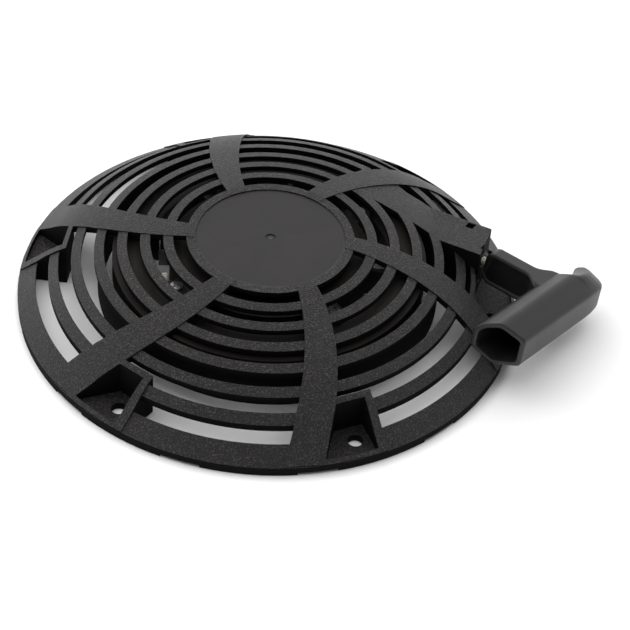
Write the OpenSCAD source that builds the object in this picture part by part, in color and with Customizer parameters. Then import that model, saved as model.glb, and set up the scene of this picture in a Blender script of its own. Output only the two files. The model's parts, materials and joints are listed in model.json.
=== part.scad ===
// Recoil starter for a small vertical-shaft engine. The origin is the centre of the mounting
// rim's underside and +Z points up, away from the engine. The rope is pulled out level,
// along the pull line, and the reel turns clockwise as seen from above.

/* [Cover] */
// Radius of the mounting rim
rim_r = 117; // [108:1:130]
// Height of the rim's upright edge
rim_h = 4.3; // [3:0.1:6]
// Height of the crown above the mounting face
crown_h = 35.8; // [35:0.2:42]
// Height where the dome meets the straight band at the rim
band_h = 10.6; // [8:0.2:14]
// Width of the straight band
band_w = 8.6; // [6:0.2:12]
// Wall thickness of the domed shell
shell_wall = 2.6; // [2:0.1:3.2]
// Thickness of the rim's skirt
skirt_wall = 3; // [2.5:0.1:4]
// Radius of the flat disc in the middle of the crown
disc_r = 34.6; // [30:0.2:36]
// Depth of the flat disc below the crown
disc_drop = 0.5; // [0.2:0.1:1]

/* [Air slots] */
// Inner radius of the innermost ring of slots
slot_first_r = 38.9; // [38:0.1:41]
// Width of each slot
slot_w = 6; // [4:0.1:7]
// Distance from one ring of slots to the next
slot_pitch = 10.6; // [9:0.1:11]
// Number of rings of slots
slot_rings = 7; // [4:1:7]

/* [Spokes and bolts] */
// Number of spokes and of mounting bolts
spokes = 6; // [6:1:6]
// Angle of the first mounting bolt
bolt_angle = -4.6; // [-10:0.2:10]
// Radius of the circle through the mounting bolts
bolt_circle_r = 105.3; // [102:0.1:108]
// Radius of each mounting hole
bolt_hole_r = 3.5; // [2.5:0.1:4]
// Height that a spoke stands above the rings of the dome at the rim
spoke_rise = 1.2; // [0.6:0.1:2]
// Floor of the bolt pockets above the mounting face
pocket_floor = 3.5; // [3:0.1:4]
// Radius of the pockets' inner wall
pocket_inner_r = 97; // [94:0.5:99]
// Wall round each pocket
pocket_wall = 2.2; // [1.6:0.1:3]

/* [Rope outlet] */
// Direction of the pull line, turned from +X
pull_angle = -36; // [-38:1:-34]
// Distance of the pull line from the reel's axis
pull_offset = 70.6; // [70:0.1:70.8]
// Height of the rope above the mounting face
rope_z = 19.5; // [19:0.1:19.8]
// Radius of the rope
rope_r = 2; // [1.6:0.1:2.2]
// Direction of the outlet channel, turned from +X
channel_angle = -32; // [-34:1:-30]
// Distance of the channel's near side from the reel's axis
channel_near = 56.8; // [55:0.2:58]
// Width of the outlet channel
channel_w = 20.2; // [19:0.2:23]
// Height of the channel's flat top at its end
channel_top = 30; // [29:0.2:32]
// Rise of the channel's top towards its end, in degrees
channel_rise = 7.5; // [5:0.5:9]
// Length of the channel from the reel's axis to its end, on the near side
channel_end = 79.8; // [79:0.2:81]
// How much shorter the channel is on its far side
channel_skew = 6; // [3:0.5:7]
// Wall thickness of the channel
channel_wall = 2.5; // [2:0.1:3]

/* [Reel] */
// Inner radius of the drum wall round the reel
drum_r = 77.2; // [76:0.1:78]
// Radius of the reel's flanges
reel_r = 73; // [71:0.5:74.5]
// Radius of the bottom of the rope groove
groove_r = 58; // [56:0.5:59]
// Width of the rope groove
groove_w = 8.8; // [8.6:0.1:9.6]
// Thickness of each flange
flange_t = 2; // [1.6:0.1:2.4]
// Outer radius of the chamber that holds the rewind spring
chamber_r = 44; // [42:0.5:46]
// Underside of the reel's hub above the mounting face
hub_z = 11.6; // [11.6:0.1:12.2]
// Number of ribs between the spring chamber and the groove
reel_ribs = 8; // [6:1:10]

/* [Centre] */
// Radius of the centre post
post_r = 8; // [7:0.1:9]
// Wall thickness of the bearing bush
bush_wall = 1.5; // [1:0.1:2]
// Running clearance between the bush and the reel
run_gap = 0.05; // [0.03:0.01:0.09]
// Radius of the centre screw's thread
screw_r = 3; // [2.5:0.1:3.5]
// Radius of the screw's shoulder, on which the cam plate turns
shoulder_r = 4; // [3.8:0.1:4.5]

/* [Rewind spring] */
// Thickness of the spring's steel strip
strip_t = 0.6; // [0.4:0.1:0.8]
// Width of the spring's steel strip
strip_w = 9; // [7:0.5:9.5]
// Number of turns of the spring
strip_turns = 7; // [5:1:8]

/* [Pawls] */
// Distance of the pawl pivots from the reel's axis
pawl_pivot_r = 20; // [19.5:0.1:20.5]
// Radius of the pawl pivot pins
pawl_pin_r = 2.5; // [2:0.1:2.7]
// Thickness of the pawls
pawl_t = 4; // [3:0.1:4]
// Angle that the pawls swing outwards
pawl_swing = 28; // [24:1:28]
// Angle that the cam plate turns against the reel
cam_turn = 30; // [28:1:32]

/* [Handle] */
// Distance of the grip's centre line outside the rim's radius, along the pull line
grip_out = -0.8; // [-3:0.1:5]
// Length of the grip on the near side of the stem
grip_near = 52.7; // [48:0.1:60]
// Length of the grip on the far side of the stem
grip_far = 29.5; // [28:0.5:33]
// Half of the grip's depth, along the pull line
grip_half_d = 12; // [11.5:0.1:13.5]
// Half of the grip's height at its ridge
grip_half_h = 12.2; // [11:0.1:13]
// Half of the height of the grip's flat front and back
grip_half_face = 7.9; // [7:0.1:9]
// How much shallower the grip is below its centre line than above it
grip_belly = 2; // [0:0.1:2.5]
// How far the grip's near end leans out of square
grip_slant = 2.8; // [0:0.2:4]
// Wall thickness of the grip
grip_wall = 2.4; // [2:0.1:3]
// Thickness of the stem
stem_t = 7.8; // [7:0.1:8.4]
// Half of the stem's height
stem_half_h = 8.4; // [7.5:0.1:9.5]
// Distance of the stem's end from the reel's axis, along the pull line
stem_start = 75.6; // [75:0.1:77]
// Tilt of the grip about the pull line, far end down
grip_tilt = 9; // [0:1:12]

/* [Hidden] */

// Clearance between parts that move past each other
gap = 0.3;
// Small overshoot that carries a cut past a face
over = 1;
// Facets of the turned shapes
$fn = 96;

// Dome: a flat crown, then a fall by the square and the eighth power of the radius as far as
// the band, then a straight band down to the rim
apex_rise = 2.45;
square_share = 0.685;
band_r = rim_r - band_w;
dome_fall = crown_h + apex_rise - band_h;
dome_steps = 22;
crown_r = 38.9;
shell_in_r = rim_r - skirt_wall;
function fall(t) = square_share * pow(t, 2) + (1 - square_share) * pow(t, 8);
function curve_z(r) = min(crown_h, crown_h + apex_rise - dome_fall * fall(r / band_r));
function band_z(r) = band_h - (band_h - rim_h) * (r - band_r) / band_w;
function dome_z(r) = r <= band_r ? curve_z(r) : band_z(r);
function steep(r) = dome_z(r - 0.5) - dome_z(r + 0.5);
function inner_z(r) = dome_z(r) - shell_wall * sqrt(1 + pow(steep(r), 2));
function spoke_z(r) = dome_z(r) + spoke_rise * (r < rim_r ? pow(r / rim_r, 2) : 0.4);
function dome_radii(last) = concat([last],
    [for (i = [dome_steps : -1 : 0]) crown_r + (band_r - crown_r) * i / dome_steps], [0]);
function polar(r, a) = [r * cos(a), r * sin(a)];

// Spoke edges: angle from the bolt at share t of the rim radius, both edges swirling back
function trailing_edge(t) = 5 - 23.1 * t;
function leading_edge(t) = 21.1 - 30.3 * t;
spoke_from = 0.2;
spoke_steps = 8;
pocket_side = 4;
pocket_lip = 1.8;
pocket_out_r = rim_r - pocket_lip;
pocket_guard = 2.2;

// Drum wall
drum_wall = 2.6;
drum_bottom = 6;
channel_bottom = 5.2;
// Rim notches
notch_h = 1.1;
notch_span = 9;

// Handle recess beside the outlet's end, as angles about the reel's axis
recess_from = -3;
recess_to = 18;
// Outlet mouth and the window in the channel's top
mouth_w = stem_t + 0.6;
mouth_start = stem_start - 3;
mouth_z = 8;
window_w = 4;
window_p = 64;
window_b = 74.4;
cavity_end = 69;

// Eyelet, along the pull line
eyelet_r = 4.2;
eyelet_flange_r = 5.4;
eyelet_flange_t = 1;
eyelet_l = 7;
eyelet_start = mouth_start - eyelet_l;

// Reel heights
groove_low = rope_z - groove_w / 2;
groove_high = rope_z + groove_w / 2;
reel_bottom = groove_low - flange_t;
reel_top = groove_high + flange_t;
reel_hub_top = 16;
chamber_floor = 16;
chamber_wall = 2.5;
chamber_top = 26.6;
groove_wall = 2.2;
rib_t = 2.6;
rib_angle = 38;
bush_r = post_r + bush_wall;
reel_bore_r = bush_r + run_gap;
hub_r = bush_r + 4;

// Rope coil and knots
coil_r = pull_offset - rope_r - 0.3;
rope_hole_r = rope_r + 0.6;
rope_way = 2 * rope_r + 6;
knot_angle = 202;
knot_ring_r = 51.2;
knot_z = groove_high - rope_hole_r - 0.1;
knot_r = 3.5;

// Rewind spring
strip_z = chamber_floor + 0.5;
strip_in_r = post_r + gap + 0.2;
strip_out_r = chamber_r - strip_t - 0.8;
strip_steps = 24;
tail_angle = 184;
tail_w = 3.4;
tail_end_r = chamber_r + chamber_wall + 5;
tail_hook = 7;

// Spring cover
cover_t = 1.2;
cover_z = chamber_top + 0.1;
cover_in_r = post_r + 4;
ear_r = 5.4;
ear_ring_r = chamber_r + 7.1;
ear_bottom = hub_z + 4;
ear_angles = [for (i = [0 : 3]) rib_angle + i * 90];
cover_screw_r = 1.5;
cover_screw_deep = 7;

// Stack under the hub
shoulder_z = 3.9;
head_r = 7.5;
head_t = 3.1;
washer_t = 1.4;
washer_r = 12.5;
post_bottom = hub_z - gap;
washer_z = post_bottom - washer_t;
cam_z = 4.1;
cam_t = 1.5;
cam_r = 30.5;
pawl_z = cam_z + cam_t + gap;
pawl_top = pawl_z + pawl_t;
pawl_gap = 0.08;
peg_r = 1.5;
peg_gap = 0.45;
peg_at = [-1, -11];
tip_at = [-3, -21];
pin_deep = 3.6;
wire_r = 0.45;
friction_wire_r = 0.6;
friction_coil_r = 6.2;
friction_turns = 2.5;

// Handle
knot_stop_r = 4.2;
knot_stop_t = 1.2;
seat_r = 6.6;
seat_t = 2.2;
rope_bore_r = rope_r + 0.6;
grip_p = rim_r + grip_out;
stem_len = grip_p - grip_half_d - stem_start;
stem_panel = 1.3;
hollow_far = 6.2;
handle_knot_r = 4.2;
washer_at = grip_p - grip_half_d + grip_wall + seat_t;
knot_start = washer_at + knot_stop_t;

// Place a shape in the pull frame: x along the pull line, y across it away from the reel's axis
module pull_frame() {
    rotate([0, 0, pull_angle]) children();
}

// Place a shape in the outlet channel's frame, laid out in the same way
module channel_frame() {
    rotate([0, 0, channel_angle]) children();
}

// Place a shape in the grip's own frame: the grip runs along y, its far end at +y
module grip_frame() {
    pull_frame() translate([grip_p, pull_offset, rope_z]) rotate([-grip_tilt, 0, 0]) children();
}

module ring(r_out, r_in, z_low, z_high) {
    translate([0, 0, z_low]) linear_extrude(z_high - z_low) difference() {
        circle(r_out);
        circle(r_in);
    }
}

module spoke_repeat() {
    for (i = [0 : spokes - 1]) rotate([0, 0, bolt_angle + i * 360 / spokes]) children();
}

// Everything under the dome's outer face, raised by the spokes' rise where raised is true
module dome_solid(raised) {
    rotate_extrude() polygon(concat(
        [[0, 0], [rim_r, 0]],
        [for (r = dome_radii(rim_r)) [r, raised ? spoke_z(r) : dome_z(r)]]));
}

module dome_hollow() {
    rotate_extrude() polygon(concat(
        [[0, -over], [shell_in_r, -over]],
        [for (r = dome_radii(shell_in_r)) [r, inner_z(r)]]));
}

// Plan outline of one spoke, in the bolt's frame
module spoke_outline() {
    polygon(concat(
        [for (i = [0 : spoke_steps])
            let (t = spoke_from + (1 - spoke_from) * i / spoke_steps)
            polar(rim_r * t, trailing_edge(t))],
        [for (i = [spoke_steps : -1 : 0])
            let (t = spoke_from + (1 - spoke_from) * i / spoke_steps)
            polar(rim_r * t, leading_edge(t))]));
}

// Plan outline of one bolt pocket, grown by a wall where grow is above zero
module pocket_outline(grow) {
    inner = pocket_inner_r - grow;
    low = leading_edge(inner / rim_r) - grow * 0.6;
    polygon([
        polar(inner, low),
        polar(rim_r + over, leading_edge(1.01) - grow * 0.6),
        polar(rim_r + over, pocket_side - 0.8 + grow),
        polar(inner, pocket_side + grow)]);
}

module slot_rings_outline() {
    for (i = [0 : slot_rings - 1]) difference() {
        circle(slot_first_r + slot_w + i * slot_pitch);
        circle(slot_first_r + i * slot_pitch);
    }
}

// Plan outline of the outlet channel, its end skewed, grown or shrunk on its two sides
module channel_outline(grow) {
    far = channel_near + channel_w + grow;
    channel_frame() polygon([
        [0, channel_near - grow], [channel_end, channel_near - grow],
        [channel_end - channel_skew, far], [0, far]]);
}

module recess_outline(grow) {
    turn = asin(grow / pocket_inner_r);
    polygon([
        polar(pocket_inner_r - grow, recess_from - turn), polar(rim_r + over, recess_from - turn),
        polar(1.02 * rim_r, (recess_from + recess_to) / 2),
        polar(rim_r + over, recess_to + turn), polar(pocket_inner_r - grow, recess_to + turn),
        polar(pocket_inner_r - grow, (recess_from + recess_to) / 2)]);
}

// Side view of the channel below its rising top, lowered by a depth, spread across the part
module channel_side(depth, low) {
    top = channel_top - depth;
    channel_frame() translate([0, 2 * rim_r, 0]) rotate([90, 0, 0]) linear_extrude(2 * rim_r)
        polygon([[0, low], [channel_end + over, low], [channel_end + over, top],
                 [0, top - (channel_end + over) * tan(channel_rise)]]);
}

module channel_block() {
    intersection() {
        linear_extrude(channel_top + over) channel_outline(0);
        channel_side(0, channel_bottom);
    }
}

module channel_cavity() {
    intersection() {
        channel_side(channel_wall, -over);
        channel_frame() translate([0, channel_near + channel_wall, -over])
            cube([cavity_end, channel_w - 2 * channel_wall, channel_top]);
    }
}

module cover_housing() {
    color([0.09, 0.09, 0.095]) difference() {
        union() {
            // Domed shell with its slots
            difference() {
                union() {
                    dome_solid(false);
                    intersection() {
                        dome_solid(true);
                        linear_extrude(crown_h + over) spoke_repeat() spoke_outline();
                    }
                }
                dome_hollow();
                translate([0, 0, pocket_floor]) linear_extrude(crown_h) difference() {
                    slot_rings_outline();
                    spoke_repeat() spoke_outline();
                    spoke_repeat() pocket_outline(pocket_guard);
                    channel_outline(0);
                    recess_outline(pocket_wall);
                }
            }
            // Walls of the bolt pockets and of the handle's recess
            intersection() {
                dome_solid(true);
                linear_extrude(crown_h) spoke_repeat() pocket_outline(pocket_wall);
            }
            intersection() {
                dome_solid(false);
                linear_extrude(crown_h) recess_outline(pocket_wall);
            }
            // Drum wall round the reel
            intersection() {
                dome_solid(false);
                ring(drum_r + drum_wall, drum_r, drum_bottom, crown_h);
            }
            difference() {
                channel_block();
                translate([0, 0, -over]) cylinder(r = drum_r, h = crown_h + 2 * over);
            }
            // Centre post and its root
            translate([0, 0, post_bottom]) cylinder(r = post_r, h = crown_h - 2 - post_bottom);
            translate([0, 0, chamber_top + cover_t + 3])
                cylinder(r = post_r + 3, h = crown_h - 2 - (chamber_top + cover_t + 3));
        }
        // Disc in the crown, with the small dimple in its middle
        translate([0, 0, crown_h - disc_drop]) cylinder(r = disc_r, h = over + disc_drop);
        translate([0, 0, crown_h - disc_drop - 0.4]) cylinder(r = 2.6, h = over);
        // Bolt pockets and their holes
        intersection() {
            translate([0, 0, pocket_floor]) linear_extrude(crown_h)
                spoke_repeat() pocket_outline(0);
            cylinder(r = pocket_out_r, h = crown_h + over);
        }
        spoke_repeat() translate([bolt_circle_r, 0, -over])
            cylinder(r = bolt_hole_r, h = pocket_floor + 2 * over);
        // Handle's recess
        intersection() {
            translate([0, 0, pocket_floor]) linear_extrude(crown_h) difference() {
                recess_outline(0);
                channel_outline(0);
            }
            cylinder(r = pocket_out_r, h = crown_h + over);
        }
        // Outlet channel: cavity, rope way through the drum wall, eyelet seat and mouth
        difference() {
            channel_cavity();
            translate([0, 0, -2 * over]) cylinder(r = drum_r + drum_wall, h = crown_h);
        }
        pull_frame() translate([20, pull_offset - rope_way / 2, rope_z - rope_way / 2])
            cube([25, rope_way, rope_way]);
        pull_frame() translate([eyelet_start, pull_offset, rope_z]) rotate([0, 90, 0]) {
            cylinder(r = eyelet_r, h = eyelet_l + over);
            translate([0, 0, -6]) cylinder(r = eyelet_flange_r + 0.2, h = 6);
        }
        pull_frame() translate([mouth_start, pull_offset - mouth_w / 2, mouth_z])
            cube([stem_len, mouth_w, channel_top]);
        channel_frame() translate([window_p - window_w / 2, window_b - window_w / 2, rope_z + 4])
            cube([window_w, window_w - 0.4, channel_top]);
        // Bore for the centre screw
        translate([0, 0, post_bottom - over]) cylinder(r = screw_r, h = 18 + over);
        // Shallow notches in the rim's underside
        for (i = [0 : 2 * spokes - 1]) rotate([0, 0, bolt_angle + (i + 0.5) * 180 / spokes])
            rotate_extrude(angle = notch_span) translate([rim_r - skirt_wall - over, -over])
                square([skirt_wall + 2 * over, notch_h + over]);
    }
}

module rope_eyelet() {
    color([0.72, 0.72, 0.7]) pull_frame()
        translate([eyelet_start - eyelet_flange_t, pull_offset, rope_z])
        rotate([0, 90, 0]) difference() {
            union() {
                cylinder(r = eyelet_flange_r, h = eyelet_flange_t);
                cylinder(r = eyelet_r, h = eyelet_flange_t + eyelet_l);
            }
            translate([0, 0, -over]) cylinder(r = rope_bore_r, h = eyelet_l + 3 * over);
        }
}

module reel() {
    color([0.13, 0.13, 0.135]) difference() {
        union() {
            ring(hub_r, reel_bore_r, hub_z, reel_hub_top);
            ring(chamber_r + chamber_wall, reel_bore_r, hub_z, chamber_floor);
            ring(chamber_r + chamber_wall, chamber_r, hub_z, chamber_top);
            ring(groove_r, groove_r - groove_wall, reel_bottom, reel_top);
            ring(reel_r, groove_r - groove_wall, reel_bottom, groove_low);
            ring(reel_r, groove_r - groove_wall, groove_high, reel_top);
            for (i = [0 : reel_ribs - 1]) rotate([0, 0, rib_angle + i * 360 / reel_ribs])
                translate([chamber_r + chamber_wall / 2, -rib_t / 2, hub_z])
                cube([groove_r - groove_wall / 2 - chamber_r - chamber_wall / 2, rib_t,
                      reel_top - hub_z]);
            for (a = ear_angles) rotate([0, 0, a]) translate([ear_ring_r, 0, ear_bottom])
                cylinder(r = ear_r, h = chamber_top - ear_bottom);
        }
        for (a = [0, 180]) rotate([0, 0, a]) translate([pawl_pivot_r, 0, hub_z - over])
            cylinder(r = pawl_pin_r, h = pin_deep + over);
        rotate([0, 0, knot_angle]) translate([groove_r + over, 0, knot_z])
            rotate([0, -90, 0]) cylinder(r = rope_hole_r, h = groove_wall + 2 * over);
        rotate([0, 0, tail_angle]) translate([chamber_r - over, -tail_w / 2, strip_z])
            cube([chamber_wall + 2 * over, tail_w, chamber_top]);
        for (a = ear_angles) rotate([0, 0, a])
            translate([ear_ring_r, 0, chamber_top - cover_screw_deep])
            cylinder(r = cover_screw_r, h = cover_screw_deep + over);
    }
}

module reel_bush() {
    color([0.62, 0.5, 0.28]) ring(bush_r, post_r, hub_z, reel_hub_top);
}

// The strip's outer end passes out through the chamber wall and turns over it
module rewind_spring() {
    steps = strip_turns * strip_steps;
    function spiral(i, side) =
        let (t = i / steps, a = tail_angle - 360 * strip_turns * (1 - t),
             r = strip_in_r + (strip_out_r - strip_in_r) * t + side)
        polar(r, a);
    color([0.6, 0.61, 0.62]) translate([0, 0, strip_z]) {
        linear_extrude(strip_w) polygon(concat(
            [for (i = [0 : steps]) spiral(i, 0)],
            [for (i = [steps : -1 : 0]) spiral(i, strip_t)]));
        rotate([0, 0, tail_angle]) translate([strip_out_r, -strip_t, 0])
            cube([tail_end_r - strip_out_r, 1.5 * strip_t, strip_w]);
        rotate([0, 0, tail_angle]) translate([tail_end_r - strip_t, -tail_hook, 0])
            cube([strip_t, tail_hook, strip_w]);
    }
}

module spring_cover() {
    color([0.16, 0.16, 0.17]) difference() {
        union() {
            ring(chamber_r + chamber_wall, cover_in_r, cover_z, cover_z + cover_t);
            for (a = ear_angles) rotate([0, 0, a]) {
                translate([ear_ring_r, 0, cover_z]) cylinder(r = ear_r, h = cover_t);
                translate([chamber_r, -ear_r, cover_z])
                    cube([ear_ring_r - chamber_r, 2 * ear_r, cover_t]);
            }
        }
        for (a = ear_angles) rotate([0, 0, a]) translate([ear_ring_r, 0, cover_z - over])
            cylinder(r = cover_screw_r + 0.2, h = cover_t + 2 * over);
    }
}

module spring_cover_screws() {
    top = cover_z + cover_t;
    color([0.7, 0.7, 0.72]) for (a = ear_angles) rotate([0, 0, a]) translate([ear_ring_r, 0, 0])
        difference() {
            union() {
                translate([0, 0, top - cover_screw_deep])
                    cylinder(r = cover_screw_r, h = cover_screw_deep);
                translate([0, 0, top]) cylinder(r = 2.9, h = 1.6);
            }
            translate([-0.4, -2, top + 0.8]) cube([0.8, 4, over]);
            translate([-2, -0.4, top + 0.8]) cube([4, 0.8, over]);
        }
}

// Rope wound in the groove, two turns wide, its outer layer drawn as round turns
module rope_coil() {
    color([0.83, 0.81, 0.76]) rotate_extrude() {
        translate([groove_r, rope_z - 2 * rope_r])
            square([coil_r - rope_r - groove_r, 4 * rope_r]);
        for (s = [-1, 1]) translate([coil_r - rope_r, rope_z + s * rope_r]) circle(rope_r);
    }
}

// The rope's inner end passes through the groove's wall and is knotted behind it
module reel_knot() {
    color([0.83, 0.81, 0.76]) rotate([0, 0, knot_angle])
        translate([knot_ring_r, 0, knot_z]) {
            sphere(r = knot_r);
            rotate([0, 90, 0]) cylinder(r = rope_r, h = groove_r - 0.1 - knot_ring_r);
        }
}

module rope_strand() {
    color([0.83, 0.81, 0.76]) pull_frame() translate([3, pull_offset, rope_z])
        rotate([0, 90, 0]) cylinder(r = rope_r, h = knot_start - gap - 3);
}

module pawl_pins() {
    color([0.68, 0.68, 0.7]) for (a = [0, 180]) rotate([0, 0, a])
        translate([pawl_pivot_r, 0, pawl_z]) cylinder(r = pawl_pin_r,
                                                      h = hub_z + pin_deep - pawl_z);
}

// Straight bar between two points of a plan
module bar(a, b, r) {
    d = b - a;
    translate(a) circle(r);
    translate(b) circle(r);
    translate(a) rotate(atan2(d[1], d[0])) translate([0, -r]) square([norm(d), 2 * r]);
}

module pawl() {
    translate([pawl_pivot_r, 0, 0]) difference() {
        union() {
            translate([0, 0, pawl_z]) linear_extrude(pawl_t) {
                circle(5);
                bar([0, 0], peg_at, 3.2);
                bar(peg_at, tip_at, 2.6);
                translate(tip_at) rotate(-8) translate([-2.4, -2.6]) square([5.2, 4]);
            }
            translate([peg_at[0], peg_at[1], cam_z + 0.2])
                cylinder(r = peg_r, h = pawl_z - cam_z);
        }
        translate([0, 0, pawl_z - over])
            cylinder(r = pawl_pin_r + pawl_gap, h = pawl_t + 2 * over);
    }
}

module pawl_a() {
    color([0.5, 0.5, 0.5]) pawl();
}

module pawl_b() {
    color([0.5, 0.5, 0.5]) rotate([0, 0, 180]) pawl();
}

// Torsion spring between the pawl and the reel: one turn round the pin, with two legs
module pawl_spring() {
    z = (pawl_top + hub_z) / 2;
    ring_r = pawl_pin_r + wire_r + 0.3;
    translate([pawl_pivot_r, 0, z]) {
        rotate_extrude() translate([ring_r, 0]) circle(wire_r);
        translate([ring_r, 0, 0]) rotate([90, 0, 0]) cylinder(r = wire_r, h = 9);
        translate([-ring_r, 0, 0]) rotate([90, 0, -30]) cylinder(r = wire_r, h = 6);
    }
}

module pawl_spring_a() {
    color([0.75, 0.75, 0.77]) pawl_spring();
}

module pawl_spring_b() {
    color([0.75, 0.75, 0.77]) rotate([0, 0, 180]) pawl_spring();
}

// Place of a pawl's peg in the cam plate's own frame, at share s of the travel
function peg_place(s) =
    let (a = pawl_swing * s, c = -cam_turn * s,
         x = pawl_pivot_r + peg_at[0] * cos(a) - peg_at[1] * sin(a),
         y = peg_at[0] * sin(a) + peg_at[1] * cos(a))
    [x * cos(c) - y * sin(c), x * sin(c) + y * cos(c)];

// Each pawl's peg runs in a curved slot that swings the pawl out as the plate turns
module cam_plate() {
    slot_steps = 4;
    color([0.55, 0.55, 0.5]) translate([0, 0, cam_z]) linear_extrude(cam_t) difference() {
        circle(cam_r);
        circle(shoulder_r + 0.15);
        for (a = [0, 180], i = [0 : slot_steps - 1]) rotate(a)
            bar(peg_place(i / slot_steps), peg_place((i + 1) / slot_steps), peg_r + peg_gap);
        for (a = [75, 255]) rotate(a) translate([cam_r + 2, 0]) circle(8);
    }
}

// Compression spring that presses the cam plate on the screw's head
module friction_spring() {
    low = cam_z + cam_t + friction_wire_r + 0.15;
    high = washer_z - friction_wire_r - 0.05;
    per_turn = 20;
    sides = 8;
    steps = friction_turns * per_turn;
    function wire_point(i, k) =
        let (a = 360 * i / per_turn, w = 360 * k / sides,
             r = friction_coil_r + friction_wire_r * cos(w))
        [r * cos(a), r * sin(a), low + (high - low) * i / steps + friction_wire_r * sin(w)];
    points = [for (i = [0 : steps], k = [0 : sides - 1]) wire_point(i, k)];
    sides_faces = [for (i = [0 : steps - 1], k = [0 : sides - 1])
        let (a = i * sides + k, b = i * sides + (k + 1) % sides)
        [a, b, b + sides, a + sides]];
    ends = [[for (k = [sides - 1 : -1 : 0]) k], [for (k = [0 : sides - 1]) steps * sides + k]];
    color([0.75, 0.75, 0.77]) polyhedron(points, concat(sides_faces, ends));
}

module thrust_washer() {
    color([0.7, 0.7, 0.72]) ring(washer_r, screw_r + 0.1, washer_z, post_bottom);
}

module centre_screw() {
    color([0.66, 0.66, 0.68]) difference() {
        union() {
            translate([0, 0, shoulder_z - head_t]) cylinder(r = head_r, h = head_t);
            translate([0, 0, shoulder_z]) cylinder(r = shoulder_r, h = washer_z - shoulder_z);
            translate([0, 0, washer_z]) cylinder(r = screw_r, h = post_bottom + 16 - washer_z);
        }
        translate([0, 0, shoulder_z - head_t - over]) cylinder(r = 3, h = over + 2, $fn = 6);
    }
}

// Section of the grip across its length: a long hexagon with a ridge on top and below
module grip_section(inset) {
    d = grip_half_d - inset;
    h = grip_half_h - inset;
    f = grip_half_face - inset * 0.6;
    polygon([[-d, -f * 0.55], [-d + 3.6, -f - 0.5], [-0.4, -h], [d, -f],
             [d, f - grip_belly], [-0.4, h - grip_belly], [-d + 3.6, f + 0.5 - grip_belly],
             [-d, f * 0.55]]);
}

// Plan of the grip: straight on the near side, a short swept horn on the far side
module grip_plan(inset) {
    d = grip_half_d - inset;
    far = grip_far;
    polygon([[-d - 1, -grip_near - 20], [d + 1, -grip_near - 20], [d + 1, 8],
             [grip_half_d - 0.6, far - 12.5], [grip_half_d - 2.4, far - 8.2],
             [grip_half_d - 6, far - 4.8], [-1, far - 1.8], [-5, far],
             [-8, far - 0.4], [-9.4, far - 2.2], [-7.8, far - 6.5], [-6, 18], [-6, 13],
             [-8.2, 9.6], [-grip_half_d, 8], [-d - 1, 7]]);
}

// Side view of the grip: its far end drops to a rounded horn, its near end leans
module grip_side() {
    h = grip_half_h;
    far = grip_far;
    rotate([90, 0, 90]) linear_extrude(4 * grip_half_d, center = true)
        polygon([[-grip_near - 20, -h], [10, -h], [18, 2.5 - h], [far - 4, -6.5],
                 [far, -4], [far + 1, 0], [far - 0.5, 4], [far - 4, 6.5], [18, h - 2.5],
                 [9, h], [-grip_near - 20, h]]);
}

// Everything on the far side of the grip's leaning near end, moved back by a length
module grip_end_cut(back) {
    lean = 3 * grip_slant;
    linear_extrude(4 * grip_half_h, center = true)
        polygon([[-3 * grip_half_d, -grip_near - back - lean],
                 [3 * grip_half_d, -grip_near - back + lean],
                 [3 * grip_half_d, 60], [-3 * grip_half_d, 60]]);
}

module grip_body(inset, back) {
    intersection() {
        translate([0, -grip_near - 20, 0]) rotate([-90, 0, 0])
            linear_extrude(grip_near + grip_far + 22) grip_section(inset);
        translate([0, 0, -grip_half_h]) linear_extrude(2 * grip_half_h) grip_plan(inset);
        grip_side();
        grip_end_cut(back);
    }
}

module handle_grip() {
    color([0.12, 0.12, 0.125]) grip_frame() difference() {
        union() {
            grip_body(0, 0);
            // Stem, widening into the grip
            translate([-grip_half_d - stem_len, -stem_t / 2, -stem_half_h])
                cube([stem_len + 6, stem_t, 2 * stem_half_h]);
            translate([0, 0, grip_belly - grip_half_face])
                linear_extrude(2 * grip_half_face - grip_belly)
                polygon([[-grip_half_d - 6, -stem_t / 2], [-grip_half_d - 6, stem_t / 2],
                         [-grip_half_d - 1.5, stem_t / 2 + 2], [-grip_half_d + 3, 9],
                         [-grip_half_d + 3, -9], [-grip_half_d - 1.5, -stem_t / 2 - 2]]);
        }
        // Hollow of the grip, open at the near end, with the seat of the knot's washer left in
        difference() {
            intersection() {
                grip_body(grip_wall, over);
                translate([-2 * grip_half_d, -grip_near - 10, -grip_half_h])
                    cube([4 * grip_half_d, grip_near + 10 + hollow_far, 2 * grip_half_h]);
            }
            translate([-grip_half_d, 0, 0]) rotate([0, 90, 0])
                cylinder(r = seat_r, h = grip_wall + seat_t);
        }
        // Panels in the stem's flanks
        for (s = [-1, 1]) translate([0, s * (stem_t / 2 - stem_panel / 2 + 0.5), 0])
            translate([-grip_half_d - stem_len + 3 + (stem_len - 8) / 2, 0, 0])
            cube([stem_len - 8, stem_panel + 1, 2 * stem_half_h - 4], center = true);
        // Rope bore, from the stem's end into the hollow
        translate([-grip_half_d - stem_len - over, 0, 0]) rotate([0, 90, 0])
            cylinder(r = rope_bore_r, h = stem_len + grip_wall + seat_t + 2 * over);
    }
}

module handle_washer() {
    color([0.7, 0.7, 0.72]) pull_frame()
        translate([washer_at, pull_offset, rope_z]) rotate([0, 90, 0])
        difference() {
            cylinder(r = knot_stop_r, h = knot_stop_t);
            translate([0, 0, -over]) cylinder(r = rope_bore_r - 0.2, h = knot_stop_t + 2 * over);
        }
}

module handle_knot() {
    color([0.83, 0.81, 0.76]) pull_frame() translate([knot_start, pull_offset, rope_z])
        rotate([0, 90, 0]) {
            translate([0, 0, handle_knot_r]) sphere(r = handle_knot_r);
            translate([0, 0, handle_knot_r]) cylinder(r = rope_r, h = handle_knot_r + 3);
        }
}

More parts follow.
